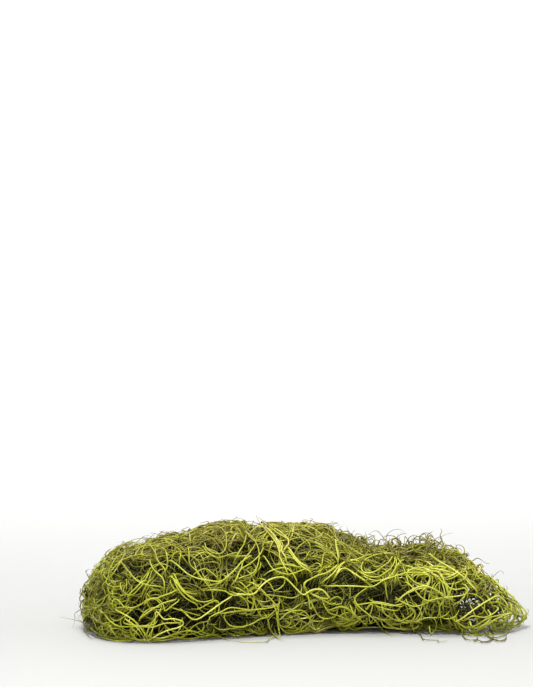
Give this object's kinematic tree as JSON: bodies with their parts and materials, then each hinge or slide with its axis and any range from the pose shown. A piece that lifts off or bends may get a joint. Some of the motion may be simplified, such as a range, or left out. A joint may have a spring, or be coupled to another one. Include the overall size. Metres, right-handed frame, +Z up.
{
  "type": "spanish moss bunch",
  "caption": "Loose lying bunch of curly, tangled dried moss strands in hanks that lie side by side, for craft and floral filling or covering the soil of a potted plant.",
  "frame": {"origin": "on the surface that the bunch lies on, under the middle of its bounding box", "axes": "+X along the bunch from its round end to its wedge end, -Y towards its front, +Z up"},
  "size_m": [0.2084, 0.1114, 0.05],
  "materials": {
    "olive_moss": "soft matte dried plant strands, dyed olive green, darker in the depth of the tangle",
    "green_moss": "soft matte dried plant strands, dyed mid green with a few straw-coloured ones",
    "yellow_green_moss": "soft matte dried plant strands, dyed yellow green with pale highlights"
  },
  "bodies": {
    "root": {"hank_left": "olive_moss", "hank_middle": "green_moss", "hank_right": "yellow_green_moss"}
  },
  "joints": []
}
